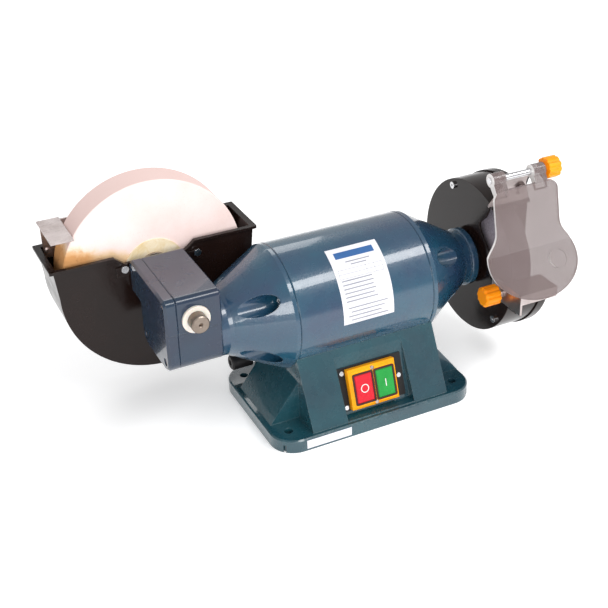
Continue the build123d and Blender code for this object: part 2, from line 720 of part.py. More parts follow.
with BuildPart() as wet_wheel_nut:
    with BuildSketch(Plane.XZ.offset(-spindle_end + 0.4)):
        with Locations((wet_x, wet_z)):
            RegularPolygon(13, 6)
            Circle(8, mode=Mode.SUBTRACT)
    extrude(amount=spindle_end - 0.4 - spindle_thread - 0.8)
save(wet_wheel_nut, "wet_wheel_nut")


def trough_profile(inset, rim_z):
    """Half-round trough outline seen from the front, with slightly flared sides."""
    half_top = trough_half - inset
    half_round = trough_round_r - inset
    flare_z = trough_round_z
    with BuildSketch(Plane.XZ) as profile:
        with BuildLine():
            left, right = (wet_x - half_round, flare_z), (wet_x + half_round, flare_z)
            ThreePointArc(left, (wet_x, flare_z - half_round), right)
            Polyline(right, (wet_x + half_top, rim_z), (wet_x - half_top, rim_z), left)
        make_face()
    return profile.sketch


trough_floor_z = trough_round_z - trough_round_r
rim_lip, rim_depth, rim_dip, rim_proud = 4.0, 3.0, 9.0, 2.0
dip_left, dip_right, dip_slope = gear_left - 3.5, gear_right + 3.5, 11.0
rim_left, rim_right = wet_x - trough_half - rim_lip, wet_x + trough_half + rim_lip
dip_z = trough_rim_z - rim_dip
dip_corners = [
    (dip_left - dip_slope, trough_rim_z),
    (dip_left, dip_z),
    (dip_right, dip_z),
    (dip_right + dip_slope, trough_rim_z),
]
rim_band = [(rim_left, trough_rim_z), *dip_corners, (rim_right, trough_rim_z)]
rim_band += [(x, z - rim_depth) for x, z in reversed(rim_band)]
bracket_sheet, bracket_foot_z = 2.0, 160.0
wet_rest_x0, wet_rest_x1, wet_rest_z = -287.5, -263.5, 212.5
wet_rest_flange_x1 = -248.5
back_inner = trough_back - trough_wall
wet_rest_screw_spots = [(-279.5, 176.5), (-264.5, 176.5)]
trough_screw_spots = [(gear_left - 5, 168.5), (gear_right + 16, 168.5)]

with BuildPart() as water_trough:
    extrude(to_extrude=trough_profile(0, trough_rim_z).moved(Location((0, trough_back, 0))),
            amount=trough_back - trough_front)
    block((rim_left, rim_right), (trough_front, trough_back + rim_lip),
          (trough_rim_z - rim_depth, trough_rim_z))
    add(front_extrusion(rim_band, trough_front - rim_proud, trough_front + 0.5))
    corners = water_trough.edges().filter_by(Axis.Z).filter_by(lambda edge: edge.length < rim_depth + 0.1)
    fillet(corners, 1.5)
    extrude(to_extrude=trough_profile(trough_wall, trough_rim_z + 1).moved(
        Location((0, trough_back - trough_wall, 0))),
        amount=trough_back - trough_front - 2 * trough_wall, mode=Mode.SUBTRACT)
    dip_cut = [*dip_corners, (dip_right + dip_slope, trough_rim_z + through),
               (dip_left - dip_slope, trough_rim_z + through)]
    add(front_extrusion(dip_cut, trough_front - rim_proud - through, trough_front + trough_wall + through),
        mode=Mode.SUBTRACT)
    block((gear_left - 1, gear_right + 1), (trough_front - 3, trough_front), (80, trough_rim_z + 1),
          mode=Mode.SUBTRACT)
    cylinder_y(trough_front - 1, trough_front + trough_wall + 1, wet_x, wet_z, 13, mode=Mode.SUBTRACT)
    for x, z in trough_screw_spots:
        cylinder_y(trough_front - through, trough_front + trough_wall + through, x, z, screw_hole_r,
                   mode=Mode.SUBTRACT)
    for x, z in wet_rest_screw_spots:
        cylinder_y(back_inner - through, trough_back + through, x, z, screw_hole_r, mode=Mode.SUBTRACT)
save(water_trough, "water_trough")

with BuildPart() as trough_bracket:
    for x_start, x_end in ((gear_left - 14, gear_split - 1.5), (gear_right - 4, gear_right + 20)):
        block((x_start, x_end), (trough_front - rim_proud, trough_front), (bracket_foot_z, dip_z - rim_depth))
    for x, z in trough_screw_spots:
        cylinder_y(trough_front - rim_proud - through, trough_front + through, x, z, screw_hole_r,
                   mode=Mode.SUBTRACT)
save(trough_bracket, "trough_bracket")

with BuildPart() as trough_screws:
    for x, z in trough_screw_spots:
        cylinder_y(trough_front - rim_proud - 2.6, trough_front - rim_proud, x, z, screw_head_r)
        cylinder_y(trough_front - rim_proud, trough_front + trough_wall + 2, x, z, screw_r)
save(trough_screws, "trough_screws")

with BuildPart() as wet_tool_rest:
    block((wet_rest_x0, wet_rest_x1), (71, back_inner), (wet_rest_z - bracket_sheet, wet_rest_z))
    block((wet_rest_x0 + 2.6, wet_rest_flange_x1), (back_inner - bracket_sheet, back_inner),
          (169.5, wet_rest_z - bracket_sheet))
    for x, z in wet_rest_screw_spots:
        cylinder_y(back_inner - bracket_sheet - through, back_inner + through, x, z, screw_hole_r,
                   mode=Mode.SUBTRACT)
save(wet_tool_rest, "wet_tool_rest")

with BuildPart() as wet_rest_screws:
    for x, z in wet_rest_screw_spots:
        cylinder_y(back_inner - bracket_sheet - 2.4, back_inner - bracket_sheet, x, z, screw_head_r)
        cylinder_y(back_inner - bracket_sheet, trough_back + 3, x, z, screw_r)
save(wet_rest_screws, "wet_rest_screws")

# ---- dry wheel and its guard --------------------------------------------------------------
with BuildPart() as dry_inner_flange:
    cylinder_x(166, dry_x0, 0, motor_z, 26)
    chamfer(dry_inner_flange.faces().sort_by(Axis.X)[0].edges(), 2)
    cylinder_x(165, dry_x0 + 1, 0, motor_z, arbor_r, mode=Mode.SUBTRACT)
save(dry_inner_flange, "dry_inner_flange")

with BuildPart() as dry_wheel:
    cylinder_x(dry_x0, dry_x1, 0, motor_z, dry_wheel_r)
    chamfer(dry_wheel.edges().filter_by(GeomType.CIRCLE), 0.6)
    cylinder_x(dry_x0 - 1, dry_x1 + 1, 0, motor_z, arbor_r + 0.1, mode=Mode.SUBTRACT)
save(dry_wheel, "dry_wheel")

with BuildPart() as dry_outer_flange:
    cylinder_x(dry_x1, dry_x1 + 5, 0, motor_z, 26)
    chamfer(dry_outer_flange.faces().sort_by(Axis.X)[-1].edges(), 2)
    cylinder_x(dry_x1 - 1, dry_x1 + 7, 0, motor_z, arbor_r, mode=Mode.SUBTRACT)
save(dry_outer_flange, "dry_outer_flange")

with BuildPart() as dry_wheel_nut:
    with BuildSketch(Plane.YZ.offset(dry_x1 + 5)):
        with Locations((0, motor_z)):
            RegularPolygon(10.5, 6)
            Circle(arbor_r, mode=Mode.SUBTRACT)
    extrude(amount=8)
save(dry_wheel_nut, "dry_wheel_nut")

guard_screw_spots = [(80.5 * cos(radians(a)), motor_z + 80.5 * sin(radians(a))) for a in (66, 222, 330)]
mouth_far_y, mouth_far_z = -130.0, motor_z + 120      # past the guard's outside
mouth_edge = [(guard_mouth_y, 200.0), (guard_mouth_y + 17, 166.0), (-44.0, 140.0), (-47.0, 112.0)]
lean = radians(arrestor_lean)
arrestor_plane = Plane(
    origin=(shield_x, arrestor_y, arrestor_z), x_dir=(1, 0, 0), z_dir=(0, -cos(lean), -sin(lean))
)
slot_x, slot_w, slot_travel = 7.0, 24.0, 9.0     # the bolt sits near the top of the slot
slot_shift = -3.3

with BuildPart() as guard_inner_plate:
    cylinder_x(guard_x0, guard_x1, 0, motor_z, guard_r)
    cylinder_x(guard_x0 + guard_sheet, guard_x1 + 1, 0, motor_z, guard_r - guard_sheet, mode=Mode.SUBTRACT)
    band_mouth = [
        (-52, guard_mouth_z), (mouth_far_y, guard_mouth_z), (mouth_far_y, mouth_far_z),
        (arrestor_y, mouth_far_z), (arrestor_y, motor_z + 60),
    ]
    add(side_extrusion(band_mouth, guard_x0 + guard_sheet, guard_x1 + 1), mode=Mode.SUBTRACT)
    with BuildSketch(Plane.YZ.offset(guard_x0 - through)):
        with BuildLine():
            Line((guard_mouth_y, mouth_far_z), mouth_edge[0])
            Spline(*mouth_edge, tangents=[(0, -1), (0, -1)])
            Polyline(mouth_edge[-1], (mouth_far_y, mouth_edge[-1][1]), (mouth_far_y, mouth_far_z),
                     (guard_mouth_y, mouth_far_z))
        make_face()
    extrude(amount=guard_sheet + through, mode=Mode.SUBTRACT)
    block((guard_x0, guard_x0 + guard_sheet), (-98, -62), (guard_mouth_z, guard_mouth_z + 22))
    with BuildSketch(arrestor_plane.offset(-guard_sheet)):
        with Locations((-2, 15)):
            Rectangle(36, 39)
    extrude(amount=guard_sheet - sliding_gap)
    with BuildSketch(arrestor_plane):
        with Locations((slot_x, slot_w)):
            Circle(3)
    extrude(amount=-5, mode=Mode.SUBTRACT)
    cylinder_x(guard_x0 - through, guard_x0 + guard_sheet + through, 0, motor_z, guard_bore_r,
               mode=Mode.SUBTRACT)
    cylinder_x(guard_x0 - through, guard_x0 + guard_sheet + through, rest_bolt_y, rest_bolt_z, rest_bolt_r,
               mode=Mode.SUBTRACT)
    for y, z in guard_screw_spots:
        cylinder_x(guard_x0 - through, guard_x0 + guard_sheet + through, y, z, screw_hole_r,
                   mode=Mode.SUBTRACT)
    for y, z in spigot_screw_spots:
        cylinder_x(guard_x0 - through, guard_x0 + guard_sheet + through, y, z, screw_hole_r,
                   mode=Mode.SUBTRACT)
save(guard_inner_plate, "guard_inner_plate")

with BuildPart() as guard_outer_cover:
    cylinder_x(guard_x1, guard_x1 + guard_sheet, 0, motor_z, guard_r + 1.5)
    cylinder_x(guard_x1 - 8, guard_x1, 0, motor_z, guard_r + 1.5)
    cylinder_x(guard_x1 - 9, guard_x1, 0, motor_z, guard_r, mode=Mode.SUBTRACT)
    cover_mouth = [
        (guard_mouth_y, guard_mouth_z), (mouth_far_y, guard_mouth_z), (mouth_far_y, mouth_far_z),
        (guard_mouth_y, mouth_far_z),
    ]
    add(side_extrusion(cover_mouth, guard_x1 - 9, guard_x1 + 6), mode=Mode.SUBTRACT)
    for y, z in guard_screw_spots:
        cylinder_x(guard_x1 - through, guard_x1 + guard_sheet + through, y, z, screw_hole_r,
                   mode=Mode.SUBTRACT)
save(guard_outer_cover, "guard_outer_cover")

with BuildPart() as guard_screws:
    for y, z in guard_screw_spots:
        cylinder_x(guard_x0 - 2.6, guard_x0, y, z, screw_head_r)
        cylinder_x(guard_x0, guard_x1 + guard_sheet + through, y, z, screw_r)
    for y, z in spigot_screw_spots:
        cylinder_x(spigot_screw_start, guard_x0 + guard_sheet, y, z, screw_r)
    for y, z in guard_screw_spots:
        cylinder_x(guard_x0 - 2.8, guard_x0 - 1.2, y, z, 1.3, mode=Mode.SUBTRACT)
save(guard_screws, "guard_screws")

# ---- dry tool rest ------------------------------------------------------------------------
rest_out, rest_in = 8.0, 1.0      # travel away from the wheel and towards it
with BuildPart() as dry_tool_rest:
    block((rest_x0, rest_x1), (rest_front, rest_back), (rest_z - rest_sheet, rest_z))
    block((rest_x0, rest_x1), (rest_front, rest_front + rest_sheet), (rest_z - rest_lip_depth, rest_z))
    block((rest_x0, rest_x0 + rest_sheet), (rest_front, rest_flange_back),
          (rest_flange_foot_z, rest_z))
    with BuildSketch(Plane.YZ.offset(rest_x0 - 1)):
        slot_middle = rest_bolt_y + (rest_out - rest_in) / 2
        with Locations((slot_middle, rest_bolt_z)):
            SlotCenterToCenter(rest_out + rest_in, 2 * (rest_bolt_r + sliding_gap))
    extrude(amount=rest_sheet + 2, mode=Mode.SUBTRACT)
    fillet(dry_tool_rest.edges().filter_by(Axis.Z).group_by(Axis.Y)[-1], 0.8)
save(dry_tool_rest, "dry_tool_rest")

knob_foot, low_knob_r, low_knob_length = 155.0, 11.3, 18.0
bolt_tail = knob_foot - 13
with BuildPart() as tool_rest_bolt:
    cylinder_x(bolt_tail, guard_x0 + guard_sheet, rest_bolt_y, rest_bolt_z, rest_bolt_r)
    cylinder_x(knob_foot + sliding_gap, rest_x0 - sliding_gap, rest_bolt_y, rest_bolt_z,
               rest_shoulder_r)
    cylinder_x(guard_x0 + guard_sheet, guard_x0 + guard_sheet + 3.5, rest_bolt_y, rest_bolt_z,
               rest_bolt_head_r)
save(tool_rest_bolt, "tool_rest_bolt")

with BuildPart() as tool_rest_knob:
    knob_plane = Plane(origin=(knob_foot, rest_bolt_y, rest_bolt_z), x_dir=(0, 0, 1), z_dir=(-1, 0, 0))
    add(star_knob(knob_plane, low_knob_r, low_knob_length, rest_bolt_r + running_gap, 15))
save(tool_rest_knob, "tool_rest_knob")

# ---- spark arrestor and eye shield --------------------------------------------------------
rod_w, rod_n = 43.5, 0.75          # rod centre along the arrestor plate and out from it
rod_y = arrestor_y - rod_w * sin(lean) - rod_n * cos(lean)
rod_z = arrestor_z + rod_w * cos(lean) - rod_n * sin(lean)
rod_left, rod_right = shield_x - 38, shield_x + 39

with BuildPart() as spark_arrestor:
    with BuildSketch(arrestor_plane):
        with BuildLine():
            Polyline(
                [
                    (-28, 3.5), (22, 3.5), (22, 6), (12, 30),
                    (12, rod_w - 3), (-18, rod_w - 3), (-18, 30), (-28, 6),
                ],
                close=True,
            )
        make_face()
        with Locations(Location((slot_x, slot_w + slot_shift, 0), (0, 0, 90))):
            SlotCenterToCenter(slot_travel, 6.4, mode=Mode.SUBTRACT)
    extrude(amount=1.5)
save(spark_arrestor, "spark_arrestor")

with BuildPart() as arrestor_bolt:
    with BuildSketch(arrestor_plane.offset(-6)):
        with Locations((slot_x, slot_w)):
            Circle(3)
    extrude(amount=7.7)
    with BuildSketch(arrestor_plane.offset(1.7)):
        with Locations((slot_x, slot_w)):
            RegularPolygon(5.6, 6)
    extrude(amount=3.6)
    with BuildSketch(arrestor_plane.offset(-6)):
        with Locations((slot_x, slot_w)):
            RegularPolygon(5.6, 6)
    extrude(amount=4)
save(arrestor_bolt, "arrestor_bolt")

with BuildPart() as shield_rod:
    cylinder_x(rod_left, rod_right, rod_y, rod_z, rod_r)
save(shield_rod, "shield_rod")

neck_y, neck_z = -73.0, 229.0      # top edge of the pane
crease_y, crease_z = -88.0, 162.0
hem_y, hem_z = -123.5, 119.0
pane_sheet = 2.8
neck_half, body_half = 40.0, 55.0
lug_span, lug_r, shoulder_r = 15.0, 7.5, 10.0
top_knob_r, top_knob_length = 11.6, 16.5
lug_centres = [shield_x - 29.0, shield_x + 21.0]

with BuildPart() as eye_shield:
    add(side_extrusion([
        (neck_y, neck_z), (crease_y, crease_z), (hem_y, hem_z),
        (hem_y + pane_sheet, hem_z), (crease_y + pane_sheet, crease_z + 0.5),
        (neck_y + pane_sheet, neck_z),
    ], shield_x - body_half, shield_x + body_half))
    with BuildSketch(Plane.XZ.offset(-200)):
        with BuildLine():
            waist_z, hip_z = crease_z + 26, crease_z - 10
            neck_l, neck_r = shield_x - neck_half, shield_x + neck_half
            round_l, round_r = (neck_l, neck_z - shoulder_r), (neck_r, neck_z - shoulder_r)
            top_l, top_r = (neck_l + shoulder_r, neck_z), (neck_r - shoulder_r, neck_z)
            waist_l, waist_r = (shield_x - neck_half, waist_z), (shield_x + neck_half, waist_z)
            hip_l, hip_r = (shield_x - body_half, hip_z), (shield_x + body_half, hip_z)
            Line(top_l, top_r)
            RadiusArc(top_r, round_r, shoulder_r)
            Line(round_r, waist_r)
            Spline(waist_r, hip_r, tangents=[(0, -1), (0, -1)])
            EllipticalCenterArc((shield_x, hip_z), body_half, hip_z - hem_z, start_angle=180, arc_size=180)
            Spline(hip_l, waist_l, tangents=[(0, 1), (0, 1)])
            Line(waist_l, round_l)
            RadiusArc(round_l, top_l, shoulder_r)
        make_face()
    extrude(amount=400, mode=Mode.INTERSECT)
    reach_y, reach_z = rod_y - neck_y, rod_z - neck_z
    reach = (reach_y**2 + reach_z**2) ** 0.5
    across_y, across_z = 4.5 * reach_z / reach, -4.5 * reach_y / reach
    web = [
        (rod_y + across_y, rod_z + across_z),
        (rod_y - across_y, rod_z - across_z),
        (neck_y - across_y + 2, neck_z - across_z - 6),
        (neck_y + across_y, neck_z + across_z - 6),
    ]
    for centre in lug_centres:
        add(side_extrusion(web, centre - lug_span / 2, centre + lug_span / 2))
        cylinder_x(centre - lug_span / 2, centre + lug_span / 2, rod_y, rod_z, lug_r)
    cylinder_x(shield_x - 60, shield_x + 60, rod_y, rod_z, rod_r + running_gap, mode=Mode.SUBTRACT)
    fall = ((hem_y - crease_y) ** 2 + (hem_z - crease_z) ** 2) ** 0.5
    out_y, out_z = (hem_z - crease_z) / fall, -(hem_y - crease_y) / fall
    boss_plane = Plane(
        origin=(shield_x + 29, crease_y + 0.32 * (hem_y - crease_y), crease_z + 0.32 * (hem_z - crease_z)),
        x_dir=(1, 0, 0),
        z_dir=(0, out_y, out_z),
    )
    with BuildSketch(boss_plane):
        Circle(10.5)
    extrude(amount=1.0)
save(eye_shield, "eye_shield")

with BuildPart() as shield_knob:
    top_plane = Plane(origin=(lug_centres[1] + lug_span / 2 + 2.3, rod_y, rod_z), x_dir=(0, 0, 1),
                      z_dir=(1, 0, 0))
    add(star_knob(top_plane, top_knob_r, top_knob_length, rod_r + running_gap, 12))
save(shield_knob, "shield_knob")

# ---- rating label -------------------------------------------------------------------------
label_x0, label_x1 = -30.0, 29.0
label_from, label_to = 21.5, 92.5     # degrees from straight up, towards the front
with BuildPart() as rating_label:
    with BuildSketch(Plane.YZ.offset(label_x0)):
        with Locations((0, motor_z)):
            Circle(shell_r + 0.3)
            Circle(shell_r, mode=Mode.SUBTRACT)
        with BuildLine():
            reach_r = 2 * shell_r
            fan = [(0, motor_z)]
            for angle in (label_from, (label_from + label_to) / 2, label_to):
                fan.append((-reach_r * sin(radians(angle)), motor_z + reach_r * cos(radians(angle))))
            Polyline(fan, close=True)
        make_face(mode=Mode.INTERSECT)
    extrude(amount=label_x1 - label_x0)
save(rating_label, "rating_label")
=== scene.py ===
"""Looks of the bench grinder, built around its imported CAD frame. Everything is in metres."""
import math

import bmesh
import bpy
from mathutils import Matrix, Vector


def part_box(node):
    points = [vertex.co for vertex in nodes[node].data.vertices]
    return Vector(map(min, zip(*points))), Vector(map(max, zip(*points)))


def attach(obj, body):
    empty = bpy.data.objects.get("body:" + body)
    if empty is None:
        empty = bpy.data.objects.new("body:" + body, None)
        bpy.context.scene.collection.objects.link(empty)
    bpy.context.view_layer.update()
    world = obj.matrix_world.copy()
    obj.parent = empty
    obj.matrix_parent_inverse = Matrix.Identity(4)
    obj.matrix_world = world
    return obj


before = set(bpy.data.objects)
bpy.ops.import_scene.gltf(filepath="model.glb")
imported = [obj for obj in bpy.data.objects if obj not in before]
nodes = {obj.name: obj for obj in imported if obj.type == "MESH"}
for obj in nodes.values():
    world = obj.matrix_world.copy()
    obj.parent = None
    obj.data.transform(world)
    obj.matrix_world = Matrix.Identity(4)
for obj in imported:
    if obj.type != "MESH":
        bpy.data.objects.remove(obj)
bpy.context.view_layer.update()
MM = 0.001
BEVEL_SAMPLES = 4
EDGE_FLAT, EDGE_SHARP = 0.99, 0.86  # cosine between the softened and the true normal


# ---- small tools ----------------------------------------------------------------------------
def srgb(red, green, blue):
    """Display colour from 0 to 255 as linear RGBA, by the standard curve."""
    def linear(value):
        value /= 255
        return value / 12.92 if value <= 0.04045 else ((value + 0.055) / 1.055) ** 2.4
    return (linear(red), linear(green), linear(blue), 1.0)


class Look:
    """One material with short calls for the nodes it is made of."""

    def __init__(self, name, **values):
        self.material = bpy.data.materials.new(name)
        self.material.use_nodes = True
        self.tree = self.material.node_tree
        self.shader = self.tree.nodes["Principled BSDF"]
        self.place = self.add("ShaderNodeTexCoord").outputs["Object"]
        for socket, value in values.items():
            self.shader.inputs[socket.replace("_", " ")].default_value = value

    def add(self, kind, **settings):
        """New node with its settings."""
        node = self.tree.nodes.new(kind)
        for key, value in settings.items():
            setattr(node, key, value)
        return node

    def feed(self, node, **inputs):
        """Sets or links a node's inputs by name, or by number as in _0."""
        for key, value in inputs.items():
            number = key[1:]
            socket = node.inputs[int(number) if number.isdigit() else key.replace("_", " ")]
            if isinstance(value, bpy.types.NodeSocket):
                self.tree.links.new(value, socket)
            else:
                socket.default_value = value
        return node

    def stretch(self, x, y, z):
        """Coordinates scaled unevenly, for grain that runs one way."""
        node = self.add("ShaderNodeMapping")
        self.feed(node, Vector=self.place, Scale=(x, y, z))
        return node.outputs["Vector"]

    def noise(self, scale, detail=3.0, rough=0.5, place=None, distortion=0.0):
        """Cloudy noise about 0.5; the scale is in features per metre."""
        node = self.add("ShaderNodeTexNoise")
        self.feed(node, Vector=place or self.place, Scale=scale, Detail=detail, Roughness=rough,
                  Distortion=distortion)
        return node.outputs["Fac"]

    def cells(self, scale, smoothness=0.6):
        """Soft rounded cells, as in hammered paint."""
        node = self.add("ShaderNodeTexVoronoi", feature="SMOOTH_F1")
        self.feed(node, Vector=self.place, Scale=scale, Smoothness=smoothness)
        return node.outputs["Distance"]

    def math(self, operation, first, second=0.0):
        node = self.add("ShaderNodeMath", operation=operation)
        self.feed(node, _0=first, _1=second)
        return node.outputs[0]

    def span(self, value, low, high, to_low=0.0, to_high=1.0):
        """Value from one range brought to another, held at its ends."""
        node = self.add("ShaderNodeMapRange")
        self.feed(node, Value=value, From_Min=low, From_Max=high, To_Min=to_low, To_Max=to_high)
        return node.outputs["Result"]

    def mix(self, factor, first, second):
        """Colour between two; sockets 6 and 7 and output 2 are the colour ones."""
        node = self.add("ShaderNodeMix", data_type="RGBA")
        self.feed(node, _0=factor, _6=first, _7=second)
        return node.outputs[2]

    def axis(self, index):
        """One of the object's own coordinates."""
        node = self.add("ShaderNodeSeparateXYZ")
        self.feed(node, Vector=self.place)
        return node.outputs[index]

    def rounded(self, radius):
        """Normal that softens every edge."""
        node = self.add("ShaderNodeBevel", samples=BEVEL_SAMPLES)
        self.feed(node, Radius=radius)
        return node.outputs["Normal"]

    def edges(self, radius):
        """Mask that is 1 on edges and 0 on flats."""
        soft = self.rounded(radius)
        true = self.add("ShaderNodeNewGeometry").outputs["Normal"]
        node = self.add("ShaderNodeVectorMath", operation="DOT_PRODUCT")
        self.feed(node, _0=soft, _1=true)
        return self.span(node.outputs["Value"], EDGE_FLAT, EDGE_SHARP)

    def bump(self, height, strength, distance, normal=None):
        """Normal of a surface raised by a height, laid over another normal."""
        node = self.add("ShaderNodeBump")
        self.feed(node, Height=height, Strength=strength, Distance=distance)
        if normal:
            self.feed(node, Normal=normal)
        return node.outputs["Normal"]

    def set(self, **inputs):
        self.feed(self.shader, **inputs)
        return self


def finish_node(names, look):
    """Gives CAD nodes a material."""
    for name in names:
        mesh = nodes[name].data
        mesh.materials.clear()
        mesh.materials.append(look.material)


def piece(name, mesh, body, look, smooth=True):
    """New object from mesh data that rides on a body."""
    mesh.materials.append(look.material)
    for polygon in mesh.polygons:
        polygon.use_smooth = smooth
    thing = bpy.data.objects.new(name, mesh)
    bpy.context.scene.collection.objects.link(thing)
    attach(thing, body)
    return thing


def mesh_of(name, build):
    """Mesh data from a function that fills a bmesh."""
    work = bmesh.new()
    build(work)
    bmesh.ops.recalc_face_normals(work, faces=work.faces)
    mesh = bpy.data.meshes.new(name)
    work.to_mesh(mesh)
    work.free()
    return mesh


# ---- materials ------------------------------------------------------------------------------
def painted(name, colour, shade, edge_colour, roughness, peel_scale, peel, hammered=False,
            coat=0.5, gloss=0.5):
    """Enamel on metal: cloudy colour, orange peel or hammered skin, edges rubbed lighter."""
    look = Look(name, Coat_Weight=coat, Coat_Roughness=0.06, IOR=1.5, Specular_IOR_Level=gloss)
    cloud = look.span(look.noise(scale=14, detail=4, rough=0.6), 0.35, 0.7)
    body = look.mix(look.math("MULTIPLY", cloud, 0.8), colour, shade)
    dust = look.span(look.noise(scale=420, detail=5, rough=0.7), 0.64, 0.82, 0.0, 0.16)
    body = look.mix(dust, body, edge_colour)
    scuff = look.span(look.noise(scale=90, detail=6, rough=0.75, distortion=1.5), 0.48, 0.62)
    wear = look.math("MULTIPLY", look.edges(radius=0.9 * MM), look.math("MULTIPLY", scuff, 0.6))
    body = look.mix(wear, body, edge_colour)
    height = look.cells(peel_scale) if hammered else look.noise(peel_scale, detail=2, rough=0.4)
    normal = look.bump(height, peel, distance=0.5 * MM, normal=look.rounded(radius=1.1 * MM))
    rough = look.span(look.noise(scale=60, detail=4, rough=0.6), 0.3, 0.75,
                      roughness - 0.05, roughness + 0.1)
    return look.set(Base_Color=body, Roughness=rough, Normal=normal)


def metal(name, colour, shade, roughness, grain=(40, 900, 900), streak=0.25, round_off=0.5 * MM):
    """Bare or plated metal with fine drawn grain, blotches and softened edges."""
    look = Look(name, Metallic=1.0)
    lines = look.noise(scale=1.0, detail=4, rough=0.65, place=look.stretch(*grain))
    blotch = look.span(look.noise(scale=45, detail=5, rough=0.65), 0.4, 0.68)
    body = look.mix(look.math("MULTIPLY", blotch, 0.5), colour, shade)
    body = look.mix(look.span(lines, 0.35, 0.7, 0.0, streak), body, shade)
    rough = look.span(lines, 0.3, 0.7, roughness - 0.06, roughness + 0.1)
    normal = look.bump(lines, strength=0.12, distance=0.2 * MM, normal=look.rounded(round_off))
    return look.set(Base_Color=body, Roughness=rough, Normal=normal)


def plastic(name, colour, shade, roughness, grain=1600, strength=0.08, glow=0.0,
            round_off=0.6 * MM):
    """Moulded plastic with fine texture, flow marks and softened edges."""
    look = Look(name, IOR=1.45, Specular_IOR_Level=0.35, Subsurface_Weight=glow,
                Subsurface_Scale=3 * MM)
    flow = look.span(look.noise(scale=35, detail=3, rough=0.5, distortion=0.8), 0.35, 0.7, 0.0, 0.6)
    body = look.mix(flow, colour, shade)
    grime = look.span(look.noise(scale=260, detail=5, rough=0.7), 0.6, 0.78, 0.0, 0.12)
    body = look.mix(grime, body, shade)
    rough = look.span(look.noise(scale=120, detail=4, rough=0.6), 0.3, 0.7,
                      roughness - 0.06, roughness + 0.08)
    texture = look.noise(grain, detail=3, rough=0.6)
    normal = look.bump(texture, strength, distance=0.15 * MM, normal=look.rounded(round_off))
    return look.set(Base_Color=body, Roughness=rough, Normal=normal)


blue_paint = painted("blue_enamel", srgb(20, 72, 94), srgb(38, 50, 80), srgb(112, 136, 150),
                     roughness=0.25, peel_scale=420, peel=0.22, coat=0.9, gloss=0.5)
gearbox_paint = painted("gearbox_enamel", srgb(18, 46, 66), srgb(30, 34, 58), srgb(116, 136, 152),
                        roughness=0.22, peel_scale=420, peel=0.06, coat=0.7, gloss=0.35)
base_paint = painted("hammered_enamel", srgb(24, 70, 80), srgb(20, 46, 60), srgb(112, 140, 146),
                     roughness=0.26, peel_scale=330, peel=0.30, hammered=True, coat=0.8, gloss=0.45)
black_paint = painted("black_enamel", srgb(30, 19, 16), srgb(20, 13, 11), srgb(88, 76, 70),
                      roughness=0.16, peel_scale=420, peel=0.05, coat=0.0, gloss=0.26)
plate_paint = painted("plate_enamel", srgb(30, 30, 32), srgb(22, 22, 24), srgb(90, 88, 86),
                      roughness=0.4, peel_scale=500, peel=0.12, coat=0.2)
zinc = metal("zinc_plate", srgb(196, 186, 184), srgb(150, 136, 132), roughness=0.30)
dark_steel = metal("ground_steel", srgb(150, 138, 128), srgb(96, 82, 72), roughness=0.34)
chrome = metal("chrome_plate", srgb(222, 222, 224), srgb(188, 186, 186), roughness=0.12,
               streak=0.1, round_off=0.3 * MM)
lamination = metal("laminations", srgb(120, 118, 118), srgb(70, 66, 64), roughness=0.42,
                   grain=(2400, 30, 30), streak=0.7)
copper = metal("enamelled_wire", srgb(178, 96, 52), srgb(112, 52, 28), roughness=0.34,
               grain=(900, 60, 60), streak=0.6)
bronze = metal("bronze", srgb(176, 134, 78), srgb(122, 88, 48), roughness=0.36)
can_metal = metal("drawn_can", srgb(196, 196, 198), srgb(150, 150, 152), roughness=0.32)
black_plastic = plastic("black_moulding", srgb(27, 26, 27), srgb(20, 19, 20), roughness=0.42)
rubber = plastic("dark_rubber", srgb(66, 34, 30), srgb(40, 24, 22), roughness=0.55,
                 grain=900, strength=0.12)
yellow_plastic = plastic("yellow_moulding", srgb(255, 170, 0), srgb(238, 142, 0), roughness=0.34,
                         glow=0.1)
red_plastic = plastic("red_moulding", srgb(204, 30, 46), srgb(180, 20, 36), roughness=0.30,
                      glow=0.1)
green_plastic = plastic("green_moulding", srgb(34, 148, 62), srgb(24, 126, 50), roughness=0.30,
                        glow=0.1)
orange_plastic = plastic("orange_moulding", srgb(255, 158, 0), srgb(248, 128, 0), roughness=0.32,
                         glow=0.2, round_off=1.2 * MM)
white_mark = plastic("white_print", srgb(238, 236, 232), srgb(222, 218, 212), roughness=0.45)
nylon = plastic("white_nylon", srgb(226, 220, 212), srgb(204, 194, 182), roughness=0.42, glow=0.15)
film = plastic("white_film", srgb(222, 221, 227), srgb(206, 205, 212), roughness=0.34,
               strength=0.03)
ribbon_print = plastic("blue_print", srgb(52, 96, 150), srgb(40, 80, 132), roughness=0.4)
grey_print = plastic("grey_print", srgb(150, 152, 160), srgb(126, 128, 138), roughness=0.5)


def blotter_look():
    """Card washers, yellowed and fibrous, with rust-brown patches soaked in."""
    look = Look("card_blotter", Roughness=0.85)
    soak = look.span(look.noise(scale=60, detail=5, rough=0.7, distortion=1.0), 0.42, 0.66)
    body = look.mix(soak, srgb(244, 230, 204), srgb(230, 206, 158))
    fibre = look.noise(scale=1500, detail=4, rough=0.7)
    return look.set(Base_Color=body, Normal=look.bump(fibre, strength=0.3, distance=0.2 * MM))


